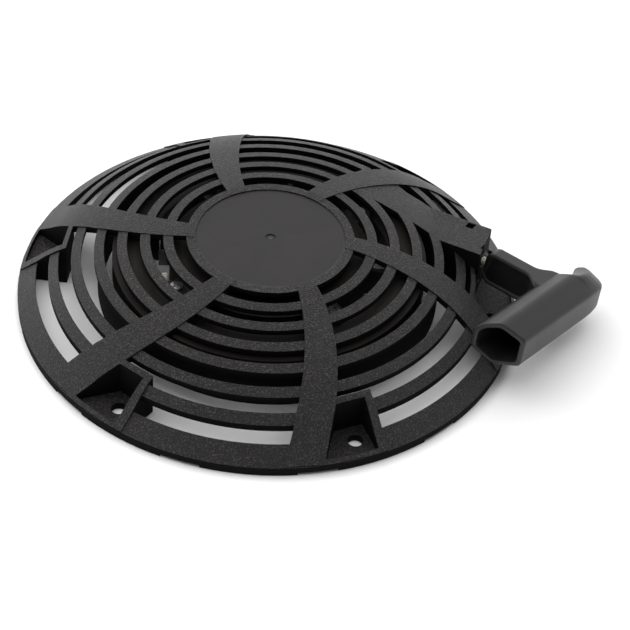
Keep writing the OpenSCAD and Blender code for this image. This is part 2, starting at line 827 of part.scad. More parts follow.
cover_housing();
rope_eyelet();
reel();
reel_bush();
rewind_spring();
spring_cover();
spring_cover_screws();
rope_coil();
reel_knot();
rope_strand();
pawl_pins();
pawl_a();
pawl_b();
pawl_spring_a();
pawl_spring_b();
cam_plate();
friction_spring();
thrust_washer();
centre_screw();
handle_grip();
handle_washer();
handle_knot();
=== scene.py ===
"""Looks of a recoil starter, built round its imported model.

The cover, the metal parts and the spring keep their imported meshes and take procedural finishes.
The pull handle, the rope, its knots and the pawl springs are new surfaces worked out with numpy.
"""

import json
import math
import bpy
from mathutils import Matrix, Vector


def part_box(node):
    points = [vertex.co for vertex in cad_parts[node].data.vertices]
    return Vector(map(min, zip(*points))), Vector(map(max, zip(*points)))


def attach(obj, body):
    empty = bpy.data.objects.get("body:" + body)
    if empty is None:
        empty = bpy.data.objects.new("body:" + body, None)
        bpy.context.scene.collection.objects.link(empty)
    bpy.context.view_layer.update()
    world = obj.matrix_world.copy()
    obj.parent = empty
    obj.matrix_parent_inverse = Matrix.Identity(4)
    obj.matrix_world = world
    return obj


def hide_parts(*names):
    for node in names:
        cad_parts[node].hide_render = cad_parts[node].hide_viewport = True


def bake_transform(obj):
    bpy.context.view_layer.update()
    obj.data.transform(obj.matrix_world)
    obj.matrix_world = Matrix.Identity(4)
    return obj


bl_info = {
    "name": "Recoil starter",
    "version": (1, 0, 0),
    "blender": (4, 5, 0),
    "location": "View3D > Sidebar > Starter",
    "description": "Builds the handle, rope and finishes of a recoil starter",
    "category": "Object",
}

import bmesh
import bpy
import numpy as np
from mathutils import Matrix, Vector

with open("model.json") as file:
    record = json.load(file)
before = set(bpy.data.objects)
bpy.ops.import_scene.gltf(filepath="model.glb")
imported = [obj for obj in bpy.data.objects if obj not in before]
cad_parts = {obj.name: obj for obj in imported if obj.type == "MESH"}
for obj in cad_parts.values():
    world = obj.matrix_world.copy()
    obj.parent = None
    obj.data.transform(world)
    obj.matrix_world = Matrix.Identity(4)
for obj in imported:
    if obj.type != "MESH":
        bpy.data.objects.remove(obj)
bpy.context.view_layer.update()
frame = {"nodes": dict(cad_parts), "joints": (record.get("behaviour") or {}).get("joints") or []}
MM = 0.001
UP = np.array([0.0, 0.0, 1.0])


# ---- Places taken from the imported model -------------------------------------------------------

def joint(name):
    """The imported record's joint of this name."""
    return next(j for j in frame["joints"] if j["name"] == name)


def centre(node):
    """Middle of a node's box, in metres."""
    low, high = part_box(node)
    return (np.array(low) + np.array(high)) / 2


def span(node, axis):
    """Lowest and highest value of a node's box along one axis."""
    low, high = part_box(node)
    return low[axis], high[axis]


PULL = np.array(joint("handle_pull")["axis"], float)
PULL /= np.linalg.norm(PULL)
ACROSS = np.cross(UP, PULL)
WASHER = centre("handle_washer")


def pull_point(along, across, height):
    """Metres from millimetres along the pull line, beside it and above it."""
    base = WASHER - PULL * float(WASHER @ PULL)
    along, across, height = np.broadcast_arrays(along, across, height)
    return (base + np.multiply.outer(along * MM, PULL) + np.multiply.outer(across * MM, ACROSS)
            + np.multiply.outer(height * MM, UP))


# ---- Settings ---------------------------------------------------------------------------------

def length(name, text, value):
    """A length property in metres."""
    return bpy.props.FloatProperty(name=name, description=text, default=value, min=0.0,
                                   precision=5, unit="LENGTH")


def share(name, text, value):
    """A plain number from 0 to 1."""
    return bpy.props.FloatProperty(name=name, description=text, default=value, min=0.0, max=1.0,
                                   subtype="FACTOR")


def colour(name, text, value):
    """A linear colour."""
    return bpy.props.FloatVectorProperty(name=name, description=text, default=value, size=3,
                                         min=0.0, max=1.0, subtype="COLOR")


class StarterHandleSettings(bpy.types.PropertyGroup):
    """Sizes of the pull handle."""
    near: length("Near length", "Grip length before the stem", 52.7 * MM)
    far: length("Far length", "Grip length beyond the stem", 29.3 * MM)
    depth: length("Half depth", "Half of the grip's depth along the pull", 12 * MM)
    ridge: length("Ridge height", "Height of the ridge above the rope's line", 12.2 * MM)
    face: length("Face height", "Half height of the flat front face", 7.9 * MM)
    belly: length("Belly", "How much shallower the grip is below", 2 * MM)
    wall: length("Wall", "Wall thickness of the hollow grip", 2.4 * MM)
    tilt: bpy.props.FloatProperty(name="Tilt", description="Turn of the grip about the pull line",
                                  default=math.radians(9), subtype="ANGLE")
    slant: length("Slant", "How far the open end leans out of square", 2.8 * MM)
    stem_half: length("Stem half thickness", "Half of the stem's thickness", 3.9 * MM)
    stem_high: length("Stem half height", "Half of the stem's height", 8.4 * MM)
    stem_long: length("Stem length", "Stem length ahead of the grip", 28.6 * MM)


class StarterRopeSettings(bpy.types.PropertyGroup):
    """Sizes of the rope and the wire."""
    rope: length("Rope radius", "Radius of the starter rope", 2 * MM)
    wire: length("Wire radius", "Radius of the pawl springs' wire", 0.45 * MM)
    twist: share("Braid depth", "Depth of the rope's braid", 0.6)


class StarterColourSettings(bpy.types.PropertyGroup):
    """Colours of the finishes."""
    housing: colour("Housing", "Charcoal moulding of the cover", (0.0172, 0.0154, 0.0160))
    handle: colour("Handle", "Charcoal moulding of the handle", (0.0131, 0.0117, 0.0122))
    reel: colour("Reel", "Black moulding of the reel", (0.010, 0.0088, 0.008))
    rope: colour("Rope", "Off-white nylon", (0.66, 0.63, 0.56))
    steel: colour("Steel", "Bare and zinc-plated steel", (0.58, 0.58, 0.6))
    bronze: colour("Bronze", "Sintered bearing bronze", (0.42, 0.27, 0.11))


# ---- Shader maths -----------------------------------------------------------------------------

class Val:
    """A shader socket in Python arithmetic: each operator adds one Math node."""

    def __init__(self, finish, socket):
        self.finish, self.socket = finish, socket

    def math(self, operation, *others, swap=False, clamp=False):
        """One Math node on this value and the others, in reverse order if swapped."""
        values = [self, *others]
        if swap:
            values.reverse()
        return self.finish.node("ShaderNodeMath", {"operation": operation, "use_clamp": clamp},
                                dict(enumerate(values)))

    def __add__(self, other):
        return self.math("ADD", other)

    def __sub__(self, other):
        return self.math("SUBTRACT", other)

    def __rsub__(self, other):
        return self.math("SUBTRACT", other, swap=True)

    def __mul__(self, other):
        return self.math("MULTIPLY", other)

    def __truediv__(self, other):
        return self.math("DIVIDE", other)

    def __pow__(self, other):
        return self.math("POWER", other)

    __radd__ = __add__

    def step(self, low, high):
        """Rises smoothly from 0 at low to 1 at high."""
        return self.finish.node("ShaderNodeMapRange", {"interpolation_type": "SMOOTHSTEP"},
                                {"Value": self, "From Min": low, "From Max": high,
                                 "To Min": 0.0, "To Max": 1.0})


class Finish:
    """One procedural material: a Principled shader and the nodes that feed it."""

    def __init__(self, name, **constants):
        self.material = bpy.data.materials.new(name)
        self.material.use_nodes = True
        self.tree = self.material.node_tree
        self.shader = self.tree.nodes["Principled BSDF"]
        self.feed(**constants)
        self.place = self.node("ShaderNodeTexCoord", {}, {}, "Object")

    def put(self, socket, value):
        """Links a value to a socket, or sets a number or a colour on it."""
        if isinstance(value, Val):
            self.tree.links.new(value.socket, socket)
        elif isinstance(value, (tuple, list)) and len(value) == 3 and socket.type == "RGBA":
            socket.default_value = (*value, 1.0)
        else:
            socket.default_value = value

    def node(self, kind, settings, values, out=0):
        """Adds a node of this type, sets its settings, then its sockets' values or links."""
        made = self.tree.nodes.new(kind)
        for key, value in settings.items():
            setattr(made, key, value)
        for key, value in values.items():
            self.put(made.inputs[key], value)
        return Val(self, made.outputs[out])

    def feed(self, **values):
        """Sets or links the main shader's inputs, spaces in their names as underscores."""
        for key, value in values.items():
            self.put(self.shader.inputs[key.replace("_", " ")], value)

    def over(self, factor, **constants):
        """Mixes the main shader over a plainer one that stays where the factor is 0."""
        plain = self.tree.nodes.new("ShaderNodeBsdfPrincipled")
        for key, value in constants.items():
            self.put(plain.inputs[key.replace("_", " ")], value)
        blend = self.tree.nodes.new("ShaderNodeMixShader")
        self.put(blend.inputs["Fac"], factor)
        self.tree.links.new(plain.outputs[0], blend.inputs[1])
        self.tree.links.new(self.shader.outputs[0], blend.inputs[2])
        self.tree.links.new(blend.outputs[0],
                            self.tree.nodes["Material Output"].inputs["Surface"])

    def axes(self, vector=None):
        """The three parts of a position."""
        parts = self.node("ShaderNodeSeparateXYZ", {}, {0: vector or self.place})
        return [Val(self, socket) for socket in parts.socket.node.outputs]

    def vector(self, x, y, z):
        return self.node("ShaderNodeCombineXYZ", {}, {0: x, 1: y, 2: z})

    def upward(self):
        """How far the true surface faces up: 1 on a level top, 0 on a wall."""
        return self.axes(self.node("ShaderNodeNewGeometry", {}, {}, "True Normal"))[2]

    def noise(self, scale, detail=2.0, rough=0.5, vector=None, warp=0.0):
        return self.node("ShaderNodeTexNoise", {}, {"Vector": vector or self.place,
                         "Scale": scale, "Detail": detail, "Roughness": rough,
                         "Distortion": warp}, "Fac")

    def cells(self, scale):
        return self.node("ShaderNodeTexVoronoi", {}, {"Vector": self.place, "Scale": scale},
                         "Distance")

    def mix(self, first, second, factor):
        """Colour between two colours."""
        return self.node("ShaderNodeMix", {"data_type": "RGBA"}, {0: factor, 6: first, 7: second},
                         2)

    def bump(self, height, distance, strength=1.0, normal=None):
        values = {"Height": height, "Distance": distance, "Strength": strength}
        if normal is not None:
            values["Normal"] = normal
        return self.node("ShaderNodeBump", {}, values)

    def soft_edge(self, radius):
        """Normal that rounds the sharp edges of a moulding over a small radius."""
        return self.node("ShaderNodeBevel", {"samples": 4}, {"Radius": radius})


# ---- Finishes ---------------------------------------------------------------------------------

# Radii on the cover, in metres, over which a finish fades in or out: the edge of the middle disc,
# the gate's nib at the centre, and the worn rim.
DISC_EDGE = (0.0338, 0.0346)
NIB_EDGE = (0.0005, 0.0013)
RIM_EDGE = (0.085, 0.112)


def tuned(base, factor):
    """A colour made lighter or darker by a factor, no part above 1."""
    return tuple(min(1.0, part * factor) for part in base)


def moulded_cover(colours):
    """Charcoal nylon: spark-eroded grain on rim, rings and spokes, a smoother satin disc with
    flow marks running out from the gate, and pale scuffs on the rim. Painted shade makes the walls
    darker and duller than the tops. The pale marks show on the tops only: the specks partly and
    the gate's nib wholly as painted highlights."""
    base = tuple(colours.housing)
    f = Finish("Cover moulding", Specular_IOR_Level=0.5)
    x, y, _ = f.axes()
    radius = (x * x + y * y) ** 0.5
    disc = 1 - radius.step(*DISC_EDGE)
    flow_at = f.vector(x / (radius + 0.004), y / (radius + 0.004), radius * 9.0)
    flow = f.noise(2.6, 3.0, 0.55, flow_at, 0.4)
    grain = f.cells(1500.0) + f.noise(2400.0, 1.0) * 0.6
    fine = f.noise(900.0, 3.0, 0.65)
    speck = f.noise(1350.0, 2.0, 0.7).step(0.52, 0.66)
    # Painted shade: where the surface faces less upward, the walls take 0.3 of the housing colour
    # and a duller shader than the tops.
    upward = f.upward().step(0.15, 0.7)
    nib = 1 - radius.step(*NIB_EDGE)
    mottle = f.noise(60.0, 3.0, 0.6)
    scuff = f.noise(210.0, 4.0, 0.7).step(0.6, 0.8) * radius.step(*RIM_EDGE)
    # Pale marks, on the tops only: the specks are partly the grain's own tone and partly painted
    # highlights, the gate's nib is a painted highlight, and the scuffs are wear.
    pale = (speck * (1 - disc) * 1.2 + scuff * 0.3 + (mottle - 0.5) * 0.2
            + (flow - 0.45) * disc * 0.5 + nib * 0.8)
    skin = pale.math("MAXIMUM", 0.0, clamp=True) * upward
    f.feed(Base_Color=f.mix(f.mix(tuned(base, 0.3), f.mix(tuned(base, 0.6), base, disc), upward),
                            tuned(base, 3.0), skin),
           Roughness=0.72 - upward * 0.22 + (fine - 0.5) * 0.22 + (mottle - 0.5) * 0.1
           - disc * 0.07 + (flow - 0.5) * disc * 0.4 - speck * (1 - disc) * 0.08)
    edge = f.soft_edge(0.0005)
    relief = f.bump(grain * (1 - disc * 0.93) + fine * 0.5 * (1 - disc * 0.8), 0.0003, 1.0, edge)
    f.feed(Normal=f.bump(flow * disc + nib * 2.0, 0.0002, 0.35, relief))
    # Painted shade: the walls take this darker, rough shader with little specular.
    f.over(upward, Base_Color=tuned(base, 0.25), Roughness=0.85, Specular_IOR_Level=0.1)
    return f.material


def moulded_handle(colours):
    """Charcoal nylon with a satin skin, faint waviness, handling scratches and worn high edges."""
    base = tuple(colours.handle)
    f = Finish("Handle moulding", Specular_IOR_Level=0.5)
    fine = f.noise(1400.0, 2.0, 0.6)
    mottle = f.noise(75.0, 3.0, 0.6)
    x, y, z = f.axes()
    along = f.vector(x * 0.25 + y, y * 0.25 - x, z)
    scratch = f.noise(420.0, 4.0, 0.75, f.vector(x * 0.2, y, z * 3.0)).step(0.64, 0.72)
    worn = f.node("ShaderNodeNewGeometry", {}, {}, "Pointiness").step(0.52, 0.6)
    speck = f.noise(1350.0, 2.0, 0.7).step(0.56, 0.7)
    pale = (mottle - 0.5) * 0.2 + scratch * 0.12 + worn * 0.25 + speck * 0.3
    f.feed(Base_Color=f.mix(base, tuned(base, 3.0), pale.math("MAXIMUM", 0.0, clamp=True)),
           Roughness=0.4 + (mottle - 0.5) * 0.16 + (fine - 0.5) * 0.12 + scratch * 0.1)
    wave = f.noise(38.0, 1.0, 0.5, along)
    f.feed(Normal=f.bump(wave, 0.0004, 0.2, f.bump(fine + scratch * 0.4, 0.00003, 0.5)))
    return f.material


def grained_panel_in_painted_shade(colours):
    """The recessed flank of the handle's stem: the handle's plastic with a coarse matt grain,
    drawn at 0.3 of the handle's colour as painted shade in the recess.
    """
    # Painted shade: the sunk panel is darkened to 0.3 of the handle's colour.
    base = tuned(tuple(colours.handle), 0.3)
    f = Finish("Handle panel grain and painted shade", Specular_IOR_Level=0.4)
    grain = f.cells(1100.0) + f.noise(2100.0, 2.0) * 0.7
    f.feed(Base_Color=f.mix(base, tuned(base, 2.4), f.noise(1500.0, 1.0).step(0.55, 0.8)),
           Roughness=0.66 + (grain - 0.7) * 0.12, Normal=f.bump(grain, 0.00018, 0.9))
    return f.material


def moulded_reel(colours):
    """Black reel plastic: plain matt skin, turning marks round the axis, grey rubbed streaks."""
    base = tuple(colours.reel)
    f = Finish("Reel moulding", Specular_IOR_Level=0.25)
    x, y, z = f.axes()
    radius = (x * x + y * y) ** 0.5
    rings = f.noise(1.0, 3.0, 0.7, f.vector(radius * 1600.0, z * 900.0, 0.0))
    rub = f.noise(14.0, 4.0, 0.7, f.vector(radius * 22.0, x * 2.0, y * 2.0)).step(0.5, 0.8)
    fine = f.noise(1700.0, 2.0)
    f.feed(Base_Color=f.mix(base, tuned(base, 3.2), rub * 0.6),
           Roughness=0.5 + (rings - 0.5) * 0.2 + (fine - 0.5) * 0.12,
           Normal=f.bump(rings * 0.5 + fine, 0.00005, 0.6, f.soft_edge(0.0003)))
    return f.material


def metal(name, base, rough, coarse, stain, stretch=(1.0, 1.0, 1.0), round_axis=False):
    """Steel or bronze: fine marks along the way it was worked, uneven lustre and dull stains."""
    f = Finish(name, Metallic=1.0)
    x, y, z = f.axes()
    if round_axis:
        radius = (x * x + y * y) ** 0.5
        grain_at = f.vector(radius * coarse, z * coarse * 0.6, 0.0)
    else:
        grain_at = f.vector(*[part * coarse * s for part, s in zip((x, y, z), stretch)])
    marks = f.noise(1.0, 3.0, 0.65, grain_at)
    cloud = f.noise(110.0, 4.0, 0.65)
    dull = cloud.step(0.5, 0.74)
    f.feed(Base_Color=f.mix(tuned(base, 1.05), tuned(base, stain), dull),
           Roughness=rough + (marks - 0.5) * 0.22 + dull * 0.18,
           Normal=f.bump(marks, 0.00003, 0.6, f.soft_edge(0.00015)))
    return f.material


def braided(colours, depth):
    """Braided nylon: two sets of strands crossing round the rope, darker and duller between
    them as painted shade, with a soft fuzz and some grime. Reads the piece's own UV map in rope
    diameters."""
    base = tuple(colours.rope)
    f = Finish("Braided nylon", Sheen_Weight=0.35, Sheen_Roughness=0.5, Specular_IOR_Level=0.35)
    uv = f.node("ShaderNodeUVMap", {"uv_map": "UVMap"}, {})
    u, v, _ = f.axes(uv)
    turn = 2 * math.pi
    left = ((u * 1.6 + v * 8.0) * turn).math("SINE")
    right = ((u * 1.6 - v * 8.0) * turn).math("SINE")
    weave = left.math("MAXIMUM", right) * 0.5 + 0.5
    hair = f.noise(1.0, 2.0, 0.6, f.vector(u * 30.0 + v * 60.0, u * 4.0 - v * 60.0, 0.0))
    grime = f.noise(70.0, 3.0, 0.6).step(0.45, 0.75)
    # Painted shade: the grooves between the strands take 0.32 of the rope's colour.
    f.feed(Base_Color=f.mix(f.mix(tuned(base, 0.32), base, weave.step(0.1, 0.8)),
                            tuned(base, 0.45), grime * 0.45),
           Roughness=0.78 + (hair - 0.5) * 0.2,
           Normal=f.bump(weave + hair * 0.25, 0.0004 * depth, 0.9))
    return f.material


# ---- Surfaces ---------------------------------------------------------------------------------

def mesh_of(name, vertices, quads, triangles, uv):
    """A mesh piece from whole arrays of vertices and faces, its corners smooth."""
    mesh = bpy.data.meshes.new(name)
    faces = [*map(tuple, quads.tolist()), *map(tuple, triangles.tolist())]
    mesh.from_pydata(vertices.tolist(), [], faces)
    if uv is not None:
        corners = np.empty(len(mesh.loops), np.int32)
        mesh.loops.foreach_get("vertex_index", corners)
        mesh.uv_layers.new(name="UVMap").data.foreach_set("uv", uv[corners].ravel())
    mesh.polygons.foreach_set("use_smooth", np.ones(len(mesh.polygons), bool))
    mesh.update()
    return mesh


def grid_faces(rows, columns):
    """Quads of a grid whose columns close on themselves, facing away from its middle."""
    i, j = np.meshgrid(np.arange(rows - 1), np.arange(columns), indexing="ij")
    k = (j + 1) % columns
    return np.stack([i * columns + j, i * columns + k, (i + 1) * columns + k,
                     (i + 1) * columns + j], -1).reshape(-1, 4)


def pole_faces(row, columns, pole, flip):
    """Triangles from one row of a grid to a single point."""
    j = np.arange(columns)
    k = (j + 1) % columns
    ends = (row * columns + k, row * columns + j) if flip else (row * columns + j,
                                                               row * columns + k)
    return np.stack([*ends, np.full(columns, pole)], -1)


def closed_grid(points):
    """Vertices, quads and triangles of a tube whose two ends close on a point each."""
    rows, columns = points.shape[:2]
    poles = np.stack([points[0].mean(0), points[-1].mean(0)])
    vertices = np.concatenate([points.reshape(-1, 3), poles])
    caps = np.concatenate([pole_faces(0, columns, rows * columns, True),
                           pole_faces(rows - 1, columns, rows * columns + 1, False)])
    return vertices, grid_faces(rows, columns), caps


def piece(name, parts, materials, body, replaced=(), uv=None, sharp=None):
    """One object from closed surfaces, riding on a body if one is given."""
    vertices, quads, caps, start = [], [], [], 0
    for v, q, t in parts:
        vertices.append(v)
        quads.append(q + start)
        caps.append(t + start)
        start += len(v)
    mesh = mesh_of(name, np.concatenate(vertices), np.concatenate(quads),
                   np.concatenate(caps), uv)
    made = bpy.data.objects.new(name, mesh)
    bpy.context.collection.objects.link(made)
    for material in materials:
        mesh.materials.append(material)
    turn_out(made)
    if sharp is not None:
        mesh.set_sharp_from_angle(angle=sharp)
    if body:
        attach(made, body)
    if replaced:
        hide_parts(*replaced)
    return made


def turn_out(made):
    """Recalculates the normals so that every closed shell faces outwards."""
    shell = bmesh.new()
    shell.from_mesh(made.data)
    bmesh.ops.recalc_face_normals(shell, faces=shell.faces)
    shell.to_mesh(made.data)
    shell.free()


def tube(path, radius, sides):
    """A round tube carried along a path: at each point, a circle square to the path's tangent.
    radius may be one number or one for each point. Returns the surface and its UV in diameters."""
    tangent = np.gradient(path, axis=0)
    tangent /= np.linalg.norm(tangent, axis=1)[:, None]
    side = np.cross(tangent, UP + 1e-4)
    side /= np.linalg.norm(side, axis=1)[:, None]
    rise = np.cross(tangent, side)
    a = np.arange(sides) * 2 * np.pi / sides
    radius = np.broadcast_to(radius, len(path))
    ring = (side[:, None] * np.cos(a)[None, :, None] + rise[:, None] * np.sin(a)[None, :, None])
    points = path[:, None] + ring * radius[:, None, None]
    gone = np.concatenate([[0], np.cumsum(np.linalg.norm(np.diff(path, axis=0), axis=1))])
    wide = 2 * float(radius.max())
    uv = np.stack(np.broadcast_arrays((gone / wide)[:, None], (a / (2 * np.pi))[None]), -1)
    vertices, quads, caps = closed_grid(points)
    uv = np.concatenate([uv.reshape(-1, 2), [[0, 0], [gone[-1] / wide, 0]]])
    return (vertices, quads, caps), uv


def rounded(corners, cut, bend, straight):
    """Closed outlines from rows of corner points: each corner is a quadratic curve that starts
    and ends at a share of the way along its two edges, with points spread on the edges between.
    corners is rows x corners x 2, cut one share for each corner."""
    before, after = np.roll(corners, 1, 1), np.roll(corners, -1, 1)
    cut = np.asarray(cut)[None, :, None]
    start = corners + (before - corners) * cut
    end = corners + (after - corners) * cut
    t = np.linspace(0, 1, bend)[None, None, :, None]
    curve = ((1 - t) ** 2 * start[:, :, None] + 2 * t * (1 - t) * corners[:, :, None]
             + t ** 2 * end[:, :, None])
    s = np.linspace(0, 1, straight + 2)[1:-1][None, None, :, None]
    edge = end[:, :, None] * (1 - s) + np.roll(start, -1, 1)[:, :, None] * s
    return np.concatenate([curve, edge], 2).reshape(corners.shape[0], -1, 2)


def smooth_through(at, places, values, blur):
    """Values read off a polyline, softened by averaging over a small window either side."""
    window = np.linspace(-blur, blur, 9)
    return np.interp(at[:, None] + window[None], places, values).mean(1)


# ---- Handle -----------------------------------------------------------------------------------

# Outline of the grip along its length, in millimetres beyond the stem: the outer and inner side
# sweep into a short horn, and the height falls away towards its tip.
OUTER_SIDE = ((-60, 6, 12, 17, 21.3, 24.7, 27.2, 28.9, 29.5),
              (12, 12, 11.8, 11.2, 9.4, 6, 0.8, -3.2, -5.6))
INNER_SIDE = ((-60, 6, 8, 9.6, 13, 18, 23, 27, 28.8, 29.5),
              (-12, -12, -11.8, -8.4, -6, -6, -7.6, -9.2, -8.4, -5.6))
HIGH_SHARE = ((-60, 8, 14, 18, 25.5, 28.5, 29.5), (1, 1, 0.92, 0.83, 0.56, 0.36, 0.2))
# The knot's seat inside the grip: its thickness and radius.
SEAT = 2.2 * MM
SEAT_R = 6.6 * MM
# The stem's sunk panel, in millimetres: start and end along the pull, half height, depth, and the
# radius of its corners; then the radii of the stem's rounded end and of the rope's hole.
PANEL = (-39.2, -14.6, 7.1, 1.1)
PANEL_CORNER = 4.6
STEM_END_R = 4.4
HOLE_R = 2.7


class GripFrame:
    """The grip's own frame: x along the pull, y along the grip, z up, tilted about the pull."""

    def __init__(self, s):
        back = s.depth - s.wall - SEAT - 0.6 * MM
        self.origin = WASHER + PULL * back
        turn = (math.cos(s.tilt), math.sin(s.tilt))
        self.far = ACROSS * turn[0] - UP * turn[1]
        self.rise = ACROSS * turn[1] + UP * turn[0]

    def __call__(self, points):
        """Metres in the part's frame from millimetres in the grip's."""
        return (self.origin + np.multiply.outer(points[..., 0] * MM, PULL)
                + np.multiply.outer(points[..., 1] * MM, self.far)
                + np.multiply.outer(points[..., 2] * MM, self.rise))


def grip_loops(s, at, inset):
    """Outlines of the grip at places along it, in millimetres: an eight-sided section whose
    corners keep their share of the way from the inner to the outer side and of the height,
    drawn in by inset, with every corner rounded."""
    d, top, face, belly = (v / MM for v in (s.depth, s.ridge, s.face, s.belly))
    shoulder = face * 0.55
    x = np.array([-d, -d, 3.6 - d, -0.4, d, d, -0.4, 3.6 - d])
    z = np.array([-shoulder, shoulder, face + 0.5, top, face, belly - face, belly - top,
                  belly - face - 0.5])
    outer = smooth_through(at, *OUTER_SIDE, 0.9)
    inner = smooth_through(at, *INNER_SIDE, 0.9)
    high = smooth_through(at, *HIGH_SHARE, 1.2)
    middle, half = (outer + inner) / 2, (outer - inner) / 2
    half = np.maximum(half - inset, 0.2)
    corners = np.stack([middle[:, None] + half[:, None] * x / d,
                        z * (high * (1 - inset / top))[:, None]], -1)
    outline = rounded(corners, (0.3, 0.3, 0.34, 0.26, 0.14, 0.14, 0.26, 0.34), 7, 4)
    lean = np.clip((-30 - at) / 22.7, 0, 1) ** 2
    y = at[:, None] + lean[:, None] * outline[..., 0] / d * s.slant / MM
    return np.stack([outline[..., 0], np.broadcast_to(y, outline.shape[:2]), outline[..., 1]], -1)


def grip_shell(s):
    """The hollow grip as one closed grid: from the horn's tip along the outside to the open
    near end, round its lip, and back along the inside to the wall behind the knot."""
    near, wall = s.near / MM, s.wall / MM
    tip = 29.45 - 9.5 * (1 - np.cos(np.linspace(0.05, np.pi / 2, 26)))
    body = np.concatenate([np.linspace(19.5, 5, 30), np.linspace(4, 1.2 - near, 40)])
    lip = np.array([0.5, 0.18, 0.04, 0.0, 0.0, 0.04, 0.18, 0.5]) - near
    inside = np.linspace(1.2 - near, 5.2, 40)
    end = np.array([5.7, 6.0, 6.1])
    at = np.concatenate([tip, body, lip, inside, end])
    inset = np.concatenate([np.zeros(len(tip) + len(body)),
                            [0, 0.15, 0.4, 0.75, wall - 0.75, wall - 0.4, wall - 0.15, wall],
                            np.full(len(inside), wall), wall + np.array([0.4, 1.2, 3.0])])
    return grip_loops(s, at, inset)


def stem_shell(s):
    """The stem as one closed grid: a rounded rectangle carried along the pull line, flaring by a
    smooth step into the grip. It starts deep in the rope's hole, runs out over the flat end and
    back along the outside, and each flank sinks by a rounded-box mask into its panel."""
    t0, h0 = s.stem_half / MM, s.stem_high / MM
    start = -(s.depth + s.stem_long) / MM
    end = start + STEM_END_R * (1 - np.cos(np.linspace(0.0, np.pi / 2, 15)))
    at = np.concatenate([end, np.linspace(end[-1] + 0.3, -8.8, 112)])
    inset = 0.7 * np.clip(1 - (at - start) / 0.55, 0, 1) ** 2
    turn_in = np.clip(1 - (at - start) / STEM_END_R, 0, 1)
    turn_in = STEM_END_R * (1 - np.sqrt(1 - turn_in ** 2))
    grow = np.clip((at + 19.5) / 10.5, 0, 1)
    grow = grow * grow * (3 - 2 * grow)
    t = t0 + 5.6 * grow ** 1.4 - inset
    up = h0 - turn_in
    down = h0 - 1.6 * grow - turn_in
    corners = np.stack([np.stack([-t, -down], -1), np.stack([t, -down], -1),
                        np.stack([t, up], -1), np.stack([-t, up], -1)], 1)
    cut = (0.09, 0.09, 0.12, 0.12)
    outline = rounded(corners, cut, 7, 38)
    y, z = outline[..., 0].copy(), outline[..., 1]
    buried = np.clip((z - 5.6) / 2.2, 0, 1) * np.clip((at[:, None] + 11) / 2.2, 0, 1)
    x = at[:, None] + 2.2 * buried
    low, high, tall, deep = PANEL
    middle, half = (low + high) / 2, (high - low) / 2
    skew = x - 0.25 * z
    q = np.stack([np.abs(skew - middle) - half, np.abs(z) - tall], -1) + PANEL_CORNER
    away = np.linalg.norm(np.maximum(q, 0), axis=-1) + np.minimum(q.max(-1), 0) - PANEL_CORNER
    sunk = np.clip(-away / 0.7, 0, 1)
    sunk = sunk * sunk * (3 - 2 * sunk) * (np.abs(y) > 0.97 * t[:, None])
    y -= np.sign(y) * deep * sunk
    loops = np.stack([x, y, z], -1)
    turn = np.arctan2(z[0], y[0])
    circle = np.stack([np.zeros_like(turn), np.cos(turn), np.sin(turn)], -1)
    hole = [circle * [1, r, r] + [x0, 0, 0] for x0, r in
            ((start + 6, HOLE_R), (start + 0.5, HOLE_R), (start + 0.12, HOLE_R + 0.12),
             (start, HOLE_R + 0.45))]
    return np.concatenate([np.stack(hole), loops]), np.concatenate([np.zeros((4, y.shape[1])),
                                                                   sunk])


def disc_shell(radius, low, high, sides=48):
    """A short round boss along the pull line, closed at both ends, its edges rounded."""
    a = np.arange(sides) * 2 * np.pi / sides
    rows = ((low, radius * 0.5), (low, radius - 0.3), (low + 0.3, radius), (high - 0.3, radius),
            (high, radius - 0.3), (high, radius * 0.5))
    return np.stack([np.stack([np.full(sides, x), r * np.cos(a), r * np.sin(a)], -1)
                     for x, r in rows])


# ---- Rope, knots and springs ------------------------------------------------------------------

# The wound rope: layers, turns in each, and the step inwards between them in rope radii.
LAYERS = 3
LAYER_TURNS = 2.0
LAYER_STEP = 1.74
# The reel's knot: its radius on the reel and where its tail ends, both from the axis.
REEL_KNOT_R = 51.2 * MM
REEL_KNOT_TAIL_R = 57.9 * MM
# A knot's tail is drawn a little thinner than the rope.
TAIL_SHARE = 0.98
# The pawl's pivot, from the reel's axis, and the mean radius of its spring's coil.
PAWL_PIN_AT = 20 * MM
PAWL_COIL_R = 3.25 * MM


def helix(radius, low, high, turns, first, steps):
    """A helix round +Z: the angle and the height rise evenly from first and low."""
    t = np.linspace(0, 1, steps)
    a = first + 2 * np.pi * turns * t
    return np.stack([radius * np.cos(a), radius * np.sin(a), low + (high - low) * t], -1)


def knot_parts(middle, along, size, strand, tail_from, tail_to, rope):
    """A closed overhand knot and the rope that runs into it. The knot is a trefoil: the point at
    (2 + cos 3t) from the axis turns twice while it rises and falls by sin 3t."""
    along = along / np.linalg.norm(along)
    side = np.cross(along, [0.3, 0.2, 0.9])
    side /= np.linalg.norm(side)
    rise = np.cross(along, side)
    t = np.linspace(0, 2 * np.pi * 0.995, 150)
    out = (2 + np.cos(3 * t)) * (size - strand) / 3
    path = (middle + np.multiply.outer(out * np.cos(2 * t), side)
            + np.multiply.outer(out * np.sin(2 * t), rise)
            + np.multiply.outer(np.sin(3 * t) * (size - strand) * 0.62, along))
    ends = np.linspace(0, 1, 24)[:, None]
    tail = tail_from + (tail_to - tail_from) * ends
    return [tube(path, strand, 12), tube(tail, rope, 16)]


def join_uv(parts):
    """Surfaces and one array of their UVs."""
    return [p[0] for p in parts], np.concatenate([p[1] for p in parts])


# ---- Operators --------------------------------------------------------------------------------

def dress(node, material):
    """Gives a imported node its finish."""
    shown = frame["nodes"][node]
    for slot in shown.material_slots:
        slot.material = material


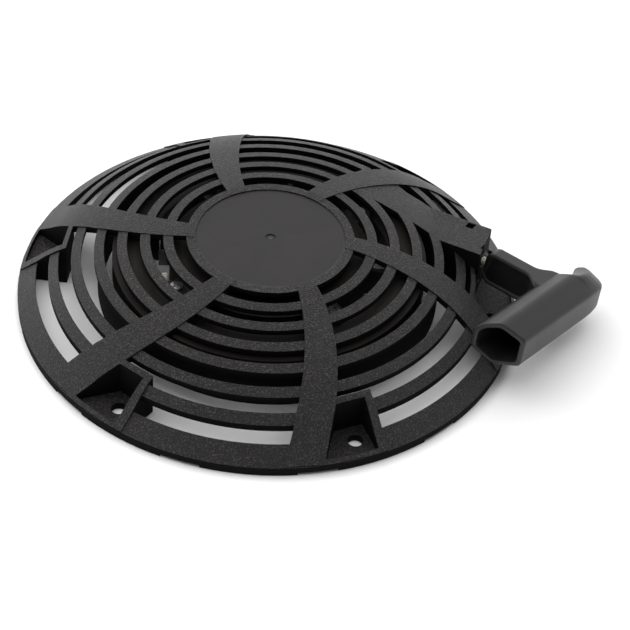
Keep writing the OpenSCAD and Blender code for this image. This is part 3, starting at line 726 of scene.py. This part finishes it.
class STARTER_OT_cover(bpy.types.Operator):
    """Finish the moulded cover and the reel behind its slots"""
    bl_idname = "starter.cover"
    bl_label = "Cover and reel"

    def execute(self, context):
        colours = context.scene.starter_colours
        dress("cover_housing", moulded_cover(colours))
        reel = moulded_reel(colours)
        for node in ("reel", "spring_cover"):
            dress(node, reel)
        return {"FINISHED"}


class STARTER_OT_metal(bpy.types.Operator):
    """Finish the bush, spring, screws, pins, pawls, cam plate, washers and eyelet"""
    bl_idname = "starter.metal"
    bl_label = "Metal parts"

    def execute(self, context):
        c = context.scene.starter_colours
        steel = tuple(c.steel)
        zinc = metal("Zinc plate", steel, 0.3, 1500.0, 0.55)
        turned = metal("Turned zinc plate", steel, 0.26, 2600.0, 0.6, round_axis=True)
        strip = metal("Spring steel", tuned(steel, 0.62), 0.34, 300.0, 0.4, (1.0, 1.0, 9.0))
        tumbled = metal("Tumbled steel", tuned(steel, 0.5), 0.42, 900.0, 0.5)
        yellow = metal("Yellow zinc plate", (0.55, 0.49, 0.33), 0.32, 1200.0, 0.6,
                       round_axis=True)
        # Painted shade: the eyelet is drawn at a tenth of the steel's colour to stand for the
        # shade in the gap where the rope leaves the cover.
        eyelet_in_painted_shade = metal("Eyelet darkened as painted shade", tuned(steel, 0.1), 0.45, 1800.0, 0.6)
        bronze = metal("Sintered bronze", tuple(c.bronze), 0.45, 2400.0, 0.5, round_axis=True)
        for node, finish in (("rope_eyelet", eyelet_in_painted_shade), ("reel_bush", bronze),
                             ("rewind_spring", strip), ("spring_cover_screws", zinc),
                             ("pawl_pins", zinc), ("pawl_a", tumbled), ("pawl_b", tumbled),
                             ("cam_plate", yellow), ("friction_spring", strip),
                             ("thrust_washer", turned), ("centre_screw", turned),
                             ("handle_washer", zinc)):
            dress(node, finish)
        return {"FINISHED"}


class STARTER_OT_handle(bpy.types.Operator):
    """Build the hollow grip, its stem with grained panels in painted shade, and the knot's seat"""
    bl_idname = "starter.handle"
    bl_label = "Pull handle"

    def execute(self, context):
        s, colours = context.scene.starter_handle, context.scene.starter_colours
        place = GripFrame(s)
        stem, sunk = stem_shell(s)
        parts = [closed_grid(place(grip_shell(s)))]
        count = len(parts[0][1])
        parts.append(closed_grid(place(stem)))
        back = (s.wall - s.depth) / MM
        parts.append(closed_grid(place(disc_shell(SEAT_R / MM, back - 0.8, back + SEAT / MM))))
        made = piece("pull_handle", parts, [moulded_handle(colours), grained_panel_in_painted_shade(colours)],
                     "handle", ["handle_grip"], sharp=math.radians(50))
        rows, columns = sunk.shape
        over = (sunk[:-1] + sunk[1:] + np.roll(sunk, -1, 1)[:-1] + np.roll(sunk, -1, 1)[1:]) / 4
        index = np.zeros(len(made.data.polygons), np.int32)
        index[count:count + (rows - 1) * columns] = (over > 0.93).ravel()
        made.data.polygons.foreach_set("material_index", index)
        return {"FINISHED"}


class STARTER_OT_rope(bpy.types.Operator):
    """Build the wound rope, the strand to the handle and the two knots"""
    bl_idname = "starter.rope"
    bl_label = "Rope and knots"

    def execute(self, context):
        s = context.scene.starter_rope
        nylon = braided(context.scene.starter_colours, s.twist)
        low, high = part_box("rope_coil")
        outer = high[0] - s.rope
        turns = []
        for layer in range(LAYERS):
            r = outer - layer * s.rope * LAYER_STEP
            path = helix(r, low[2] + s.rope, high[2] - s.rope, LAYER_TURNS, 1.0 + layer, 420)
            turns.append(tube(path, s.rope, 10))
        parts, uv = join_uv(turns)
        piece("wound_rope", parts, [nylon], "reel_body", ["rope_coil"], uv)

        reach = float(WASHER @ PULL) / MM
        line = pull_point(np.linspace(3, reach + 0.3, 90), 0.0, 0.0)
        part, uv = tube(line, s.rope, 14)
        strand = piece("rope_line", [part], [nylon], None, ["rope_strand"], uv)
        tuple(pull_point(76.5, 0.0, 0.0))
        tuple(pull_point(reach - 12, 0.0, 0.0))
        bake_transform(strand)

        low, high = span("reel_knot", 2)
        knot = np.array([*centre("reel_knot")[:2], (low + high) / 2])
        out = np.array([knot[0], knot[1], 0.0])
        out /= np.linalg.norm(out)
        knot = out * REEL_KNOT_R + UP * knot[2]
        parts, uv = join_uv(knot_parts(knot, out, 3.5 * MM, 1.25 * MM, knot + out * 1.6 * MM,
                                       out * REEL_KNOT_TAIL_R + UP * knot[2],
                                       s.rope * TAIL_SHARE))
        piece("reel_end_knot", parts, [nylon], "reel_body", ["reel_knot"], uv)

        middle = WASHER + PULL * (0.6 + 4.2) * MM
        parts, uv = join_uv(knot_parts(middle, PULL, 4.2 * MM, 1.5 * MM, middle,
                                       middle + PULL * 7.1 * MM, s.rope * TAIL_SHARE))
        piece("handle_end_knot", parts, [nylon], "handle", ["handle_knot"], uv)
        return {"FINISHED"}


class STARTER_OT_pawl_springs(bpy.types.Operator):
    """Build the two torsion springs of the pawls"""
    bl_idname = "starter.pawl_springs"
    bl_label = "Pawl springs"

    def execute(self, context):
        wire = context.scene.starter_rope.wire
        steel = metal("Drawn spring wire", tuned(context.scene.starter_colours.steel, 0.8), 0.24,
                      1400.0, 0.5, (1.0, 1.0, 0.3))
        for name, node, turn in (("pawl_coil_a", "pawl_spring_a", 0.0),
                                 ("pawl_coil_b", "pawl_spring_b", math.pi)):
            middle = UP * centre(node)[2]
            coil = helix(PAWL_COIL_R, -0.4 * MM, 0.4 * MM, 1.5, math.pi, 90)
            first = coil[0] + np.linspace(1, 0.04, 20)[:, None] * [-3 * MM, -5.2 * MM, 0]
            last = coil[-1] + np.linspace(0.04, 1, 20)[:, None] * [0, -9 * MM, 0]
            path = np.concatenate([first, coil, last]) + [PAWL_PIN_AT, 0, 0]
            c, si = math.cos(turn), math.sin(turn)
            path = path @ np.array([[c, si, 0], [-si, c, 0], [0, 0, 1]]) + middle
            part, uv = tube(path, wire * 0.9, 10)
            piece(name, [part], [steel], "reel_body", [node], uv)
        return {"FINISHED"}


FLOOR_HALF = 4
FLOOR_Z = -0.0004
# Each lamp: name, place, diameter and power.
LAMPS = (("overhead box", (-0.2, 0.25, 1.6), 3.0, 44.0),
         ("left box", (-1.3, 0.1, 0.8), 1.2, 3.0))
LAMP_TARGET = (0.02, 0, 0.02)
# How bright the walls are along each axis: from and to what height or side, and both strengths.
WALLS = (("Z", 0.25, 0.95, 1.16, 0.19), ("X", -1, 1, 1.15, 0.85), ("Y", -0.55, 0.35, 0.3, 1.08))
SENSOR = 36.0
LENS = 118.18
CAMERA_AT = (0.02324, -0.72932, 0.65293)
CAMERA_DOWN = math.radians(42.30)
CAMERA_ROLL = math.radians(4.493)


def studio_walls(tree):
    """White walls behind and to the left, brightest low down, over a darker front and top."""
    sky = tree.nodes["Background"]
    sky.inputs["Color"].default_value = (1, 1, 1, 1)
    way = tree.nodes.new("ShaderNodeTexCoord").outputs["Generated"]
    parts = tree.nodes.new("ShaderNodeSeparateXYZ")
    tree.links.new(way, parts.inputs[0])
    total = None
    for axis, low, high, first, last in WALLS:
        ramp = tree.nodes.new("ShaderNodeMapRange")
        tree.links.new(parts.outputs[axis], ramp.inputs["Value"])
        for key, value in (("From Min", low), ("From Max", high), ("To Min", first),
                           ("To Max", last)):
            ramp.inputs[key].default_value = value
        if total is None:
            total = ramp.outputs["Result"]
            continue
        both = tree.nodes.new("ShaderNodeMath")
        both.operation = "MULTIPLY"
        tree.links.new(total, both.inputs[0])
        tree.links.new(ramp.outputs["Result"], both.inputs[1])
        total = both.outputs[0]
    tree.links.new(total, sky.inputs["Strength"])


class STARTER_OT_stage(bpy.types.Operator):
    """Make the floor, the lights and the camera"""
    bl_idname = "starter.stage"
    bl_label = "Floor, lights and camera"

    def execute(self, context):
        scene = context.scene
        mesh = bpy.data.meshes.new("floor")
        corners = [(x * FLOOR_HALF, y * FLOOR_HALF, FLOOR_Z)
                   for x, y in ((-1, -1), (1, -1), (1, 1), (-1, 1))]
        mesh.from_pydata(corners, [], [(0, 1, 2, 3)])
        floor = bpy.data.objects.new("floor", mesh)
        scene.collection.objects.link(floor)
        paper = Finish("White paper", Base_Color=(0.93, 0.93, 0.93), Roughness=0.75)
        mesh.materials.append(paper.material)

        scene.view_settings.view_transform = "Standard"
        world = bpy.data.worlds.new("studio")
        scene.world = world
        world.use_nodes = True
        studio_walls(world.node_tree)
        for name, place, size, power in LAMPS:
            lamp = bpy.data.lights.new(name, "AREA")
            lamp.shape = "DISK"
            lamp.size = size
            lamp.energy = power
            stand = bpy.data.objects.new(name, lamp)
            scene.collection.objects.link(stand)
            stand.location = place
            stand.visible_glossy = False
            aim = Vector(LAMP_TARGET) - stand.location
            stand.rotation_euler = aim.to_track_quat("-Z", "Y").to_euler()

        lens = bpy.data.cameras.new("view")
        lens.sensor_width = SENSOR
        lens.lens = LENS
        lens.clip_start, lens.clip_end = 0.05, 20.0
        camera = bpy.data.objects.new("view", lens)
        scene.collection.objects.link(camera)
        down, roll = CAMERA_DOWN, CAMERA_ROLL
        ahead = Vector((0, math.cos(down), -math.sin(down)))
        across, rise = Vector((1, 0, 0)), Vector((0, math.sin(down), math.cos(down)))
        right = across * math.cos(roll) + rise * math.sin(roll)
        top = rise * math.cos(roll) - across * math.sin(roll)
        turned = Matrix((right, top, -ahead)).transposed().to_4x4()
        turned.translation = Vector(CAMERA_AT)
        camera.matrix_world = turned
        scene.camera = camera
        return {"FINISHED"}


class STARTER_PT_panel(bpy.types.Panel):
    """Lists the starter's pieces and settings"""
    bl_idname = "STARTER_PT_panel"
    bl_label = "Recoil starter"
    bl_space_type = "VIEW_3D"
    bl_region_type = "UI"
    bl_category = "Starter"

    def draw(self, context):
        for operator in OPERATORS:
            self.layout.operator(operator.bl_idname)
        for group in (context.scene.starter_handle, context.scene.starter_rope,
                      context.scene.starter_colours):
            box = self.layout.box()
            for key in group.__annotations__:
                box.prop(group, key)


GROUPS = {"starter_handle": StarterHandleSettings, "starter_rope": StarterRopeSettings,
          "starter_colours": StarterColourSettings}
OPERATORS = (STARTER_OT_stage, STARTER_OT_cover, STARTER_OT_metal, STARTER_OT_handle,
             STARTER_OT_rope, STARTER_OT_pawl_springs)


def register():
    for made in (*GROUPS.values(), *OPERATORS, STARTER_PT_panel):
        bpy.utils.register_class(made)
    for name, group in GROUPS.items():
        setattr(bpy.types.Scene, name, bpy.props.PointerProperty(type=group))


def unregister():
    for name in GROUPS:
        delattr(bpy.types.Scene, name)
    for made in reversed((*GROUPS.values(), *OPERATORS, STARTER_PT_panel)):
        bpy.utils.unregister_class(made)


def main():
    """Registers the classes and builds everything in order."""
    register()
    for operator in OPERATORS:
        area, name = operator.bl_idname.split(".")
        getattr(getattr(bpy.ops, area), name)()


if __name__ == "__main__":
    main()
